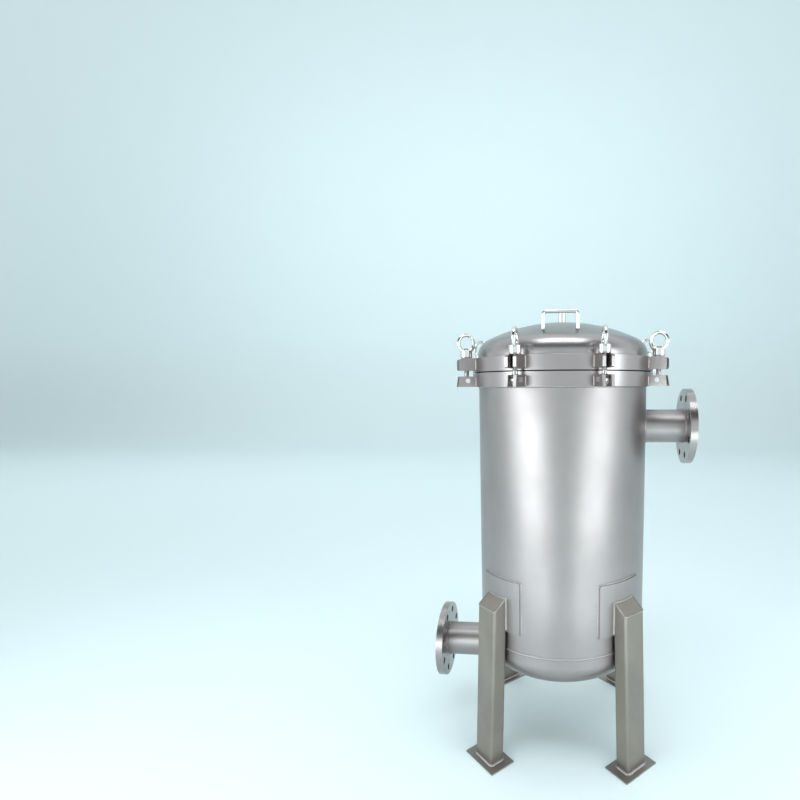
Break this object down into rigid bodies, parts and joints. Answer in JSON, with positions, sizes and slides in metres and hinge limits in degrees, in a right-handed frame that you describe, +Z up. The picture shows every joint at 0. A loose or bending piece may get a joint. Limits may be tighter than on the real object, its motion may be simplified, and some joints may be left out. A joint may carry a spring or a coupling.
{
  "type": "bag filter housing",
  "caption": "Upright cylindrical bag filter housing of stainless steel on four legs, with a dished lid held by swing bolts with eye nuts and flanged side connections.",
  "frame": {"origin": "on the vessel axis at floor level, midway between the two connection faces", "axes": "+Z up along the vessel axis, +X out of the upper (inlet) connection, -Y towards the lid's handle"},
  "size_m": [0.69, 0.54, 1.1525],
  "materials": {
    "satin_steel": "satin",
    "turned_steel": "turned satin",
    "leg_steel": "matte pickled",
    "ear_steel": "satin, laser-cut edges",
    "polished_steel": "polished",
    "bolt_steel": "machined",
    "weld_steel": "rippled weld bead",
    "basket_steel": "satin",
    "seal_rubber": "black, smooth",
    "bag_felt": "needle felt"
  },
  "bodies": {
    "vessel": {"shell": "satin_steel", "bottom_head": "satin_steel", "girth_weld": "weld_steel", "body_flange": "turned_steel", "seal_ring": "seal_rubber", "lower_ears": "ear_steel", "hinge_pins": "polished_steel", "inlet_pipe": "satin_steel", "inlet_flange": "turned_steel", "outlet_pipe": "satin_steel", "outlet_flange": "turned_steel", "leg_1": "leg_steel", "leg_2": "leg_steel", "leg_3": "leg_steel", "leg_4": "leg_steel", "leg_pads": "leg_steel", "foot_plates": "leg_steel", "tube_sheet": "turned_steel", "basket_1": "basket_steel", "basket_2": "basket_steel", "basket_3": "basket_steel", "filter_bag_1": "bag_felt", "filter_bag_2": "bag_felt", "filter_bag_3": "bag_felt", "bag_rings": "basket_steel", "drain_socket": "polished_steel", "drain_plug": "polished_steel"},
    "lid": {"lid_flange": "turned_steel", "lid_head": "satin_steel", "upper_ears": "ear_steel", "handle": "polished_steel", "vent_socket": "polished_steel", "vent_plug": "polished_steel"},
    "swing_bolt_1": {"swing_bolt_1": "bolt_steel"},
    "washer_1": {"washer_1": "bolt_steel"},
    "eye_nut_1": {"eye_nut_1": "polished_steel"},
    "swing_bolt_2": {"swing_bolt_2": "bolt_steel"},
    "washer_2": {"washer_2": "bolt_steel"},
    "eye_nut_2": {"eye_nut_2": "polished_steel"},
    "swing_bolt_3": {"swing_bolt_3": "bolt_steel"},
    "washer_3": {"washer_3": "bolt_steel"},
    "eye_nut_3": {"eye_nut_3": "polished_steel"},
    "swing_bolt_4": {"swing_bolt_4": "bolt_steel"},
    "washer_4": {"washer_4": "bolt_steel"},
    "eye_nut_4": {"eye_nut_4": "polished_steel"},
    "swing_bolt_5": {"swing_bolt_5": "bolt_steel"},
    "washer_5": {"washer_5": "bolt_steel"},
    "eye_nut_5": {"eye_nut_5": "polished_steel"},
    "swing_bolt_6": {"swing_bolt_6": "bolt_steel"},
    "washer_6": {"washer_6": "bolt_steel"},
    "eye_nut_6": {"eye_nut_6": "polished_steel"},
    "swing_bolt_7": {"swing_bolt_7": "bolt_steel"},
    "washer_7": {"washer_7": "bolt_steel"},
    "eye_nut_7": {"eye_nut_7": "polished_steel"},
    "swing_bolt_8": {"swing_bolt_8": "bolt_steel"},
    "washer_8": {"washer_8": "bolt_steel"},
    "eye_nut_8": {"eye_nut_8": "polished_steel"}
  },
  "joints": [
    {"name": "lid_lift", "type": "slide", "parent": "vessel", "child": "lid", "axis": [0, 0, 1], "range_m": [0, 0.12]},
    {"name": "bolt_swing_1", "type": "hinge", "parent": "vessel", "child": "swing_bolt_1", "pos_m": [0.24206, 0.10026, 0.972], "axis": [-0.3827, 0.9239, 0], "range_deg": [0, 170]},
    {"name": "washer_slide_1", "type": "slide", "parent": "swing_bolt_1", "child": "washer_1", "axis": [0, 0, 1], "range_m": [0, 0.12]},
    {"name": "nut_turn_1", "type": "hinge", "parent": "washer_1", "child": "eye_nut_1", "pos_m": [0.24206, 0.10026, 1.0326], "axis": [0, 0, 1], "continuous": true},
    {"name": "bolt_swing_2", "type": "hinge", "parent": "vessel", "child": "swing_bolt_2", "pos_m": [0.10026, 0.24206, 0.972], "axis": [-0.9239, 0.3827, 0], "range_deg": [0, 170]},
    {"name": "washer_slide_2", "type": "slide", "parent": "swing_bolt_2", "child": "washer_2", "axis": [0, 0, 1], "range_m": [0, 0.12]},
    {"name": "nut_turn_2", "type": "hinge", "parent": "washer_2", "child": "eye_nut_2", "pos_m": [0.10026, 0.24206, 1.0326], "axis": [0, 0, 1], "continuous": true},
    {"name": "bolt_swing_3", "type": "hinge", "parent": "vessel", "child": "swing_bolt_3", "pos_m": [-0.10026, 0.24206, 0.972], "axis": [-0.9239, -0.3827, 0], "range_deg": [0, 170]},
    {"name": "washer_slide_3", "type": "slide", "parent": "swing_bolt_3", "child": "washer_3", "axis": [0, 0, 1], "range_m": [0, 0.12]},
    {"name": "nut_turn_3", "type": "hinge", "parent": "washer_3", "child": "eye_nut_3", "pos_m": [-0.10026, 0.24206, 1.0326], "axis": [0, 0, 1], "continuous": true},
    {"name": "bolt_swing_4", "type": "hinge", "parent": "vessel", "child": "swing_bolt_4", "pos_m": [-0.24206, 0.10026, 0.972], "axis": [-0.3827, -0.9239, 0], "range_deg": [0, 170]},
    {"name": "washer_slide_4", "type": "slide", "parent": "swing_bolt_4", "child": "washer_4", "axis": [0, 0, 1], "range_m": [0, 0.12]},
    {"name": "nut_turn_4", "type": "hinge", "parent": "washer_4", "child": "eye_nut_4", "pos_m": [-0.24206, 0.10026, 1.0326], "axis": [0, 0, 1], "continuous": true},
    {"name": "bolt_swing_5", "type": "hinge", "parent": "vessel", "child": "swing_bolt_5", "pos_m": [-0.24206, -0.10026, 0.972], "axis": [0.3827, -0.9239, 0], "range_deg": [0, 170]},
    {"name": "washer_slide_5", "type": "slide", "parent": "swing_bolt_5", "child": "washer_5", "axis": [0, 0, 1], "range_m": [0, 0.12]},
    {"name": "nut_turn_5", "type": "hinge", "parent": "washer_5", "child": "eye_nut_5", "pos_m": [-0.24206, -0.10026, 1.0326], "axis": [0, 0, 1], "continuous": true},
    {"name": "bolt_swing_6", "type": "hinge", "parent": "vessel", "child": "swing_bolt_6", "pos_m": [-0.10026, -0.24206, 0.972], "axis": [0.9239, -0.3827, 0], "range_deg": [0, 170]},
    {"name": "washer_slide_6", "type": "slide", "parent": "swing_bolt_6", "child": "washer_6", "axis": [0, 0, 1], "range_m": [0, 0.12]},
    {"name": "nut_turn_6", "type": "hinge", "parent": "washer_6", "child": "eye_nut_6", "pos_m": [-0.10026, -0.24206, 1.0326], "axis": [0, 0, 1], "continuous": true},
    {"name": "bolt_swing_7", "type": "hinge", "parent": "vessel", "child": "swing_bolt_7", "pos_m": [0.10026, -0.24206, 0.972], "axis": [0.9239, 0.3827, 0], "range_deg": [0, 170]},
    {"name": "washer_slide_7", "type": "slide", "parent": "swing_bolt_7", "child": "washer_7", "axis": [0, 0, 1], "range_m": [0, 0.12]},
    {"name": "nut_turn_7", "type": "hinge", "parent": "washer_7", "child": "eye_nut_7", "pos_m": [0.10026, -0.24206, 1.0326], "axis": [0, 0, 1], "continuous": true},
    {"name": "bolt_swing_8", "type": "hinge", "parent": "vessel", "child": "swing_bolt_8", "pos_m": [0.24206, -0.10026, 0.972], "axis": [0.3827, 0.9239, 0], "range_deg": [0, 170]},
    {"name": "washer_slide_8", "type": "slide", "parent": "swing_bolt_8", "child": "washer_8", "axis": [0, 0, 1], "range_m": [0, 0.12]},
    {"name": "nut_turn_8", "type": "hinge", "parent": "washer_8", "child": "eye_nut_8", "pos_m": [0.24206, -0.10026, 1.0326], "axis": [0, 0, 1], "continuous": true}
  ],
  "couplings": [
    {"joint": "washer_slide_1", "follows": "lid_lift", "ratio": 1},
    {"joint": "washer_slide_2", "follows": "lid_lift", "ratio": 1},
    {"joint": "washer_slide_3", "follows": "lid_lift", "ratio": 1},
    {"joint": "washer_slide_4", "follows": "lid_lift", "ratio": 1},
    {"joint": "washer_slide_5", "follows": "lid_lift", "ratio": 1},
    {"joint": "washer_slide_6", "follows": "lid_lift", "ratio": 1},
    {"joint": "washer_slide_7", "follows": "lid_lift", "ratio": 1},
    {"joint": "washer_slide_8", "follows": "lid_lift", "ratio": 1}
  ]
}
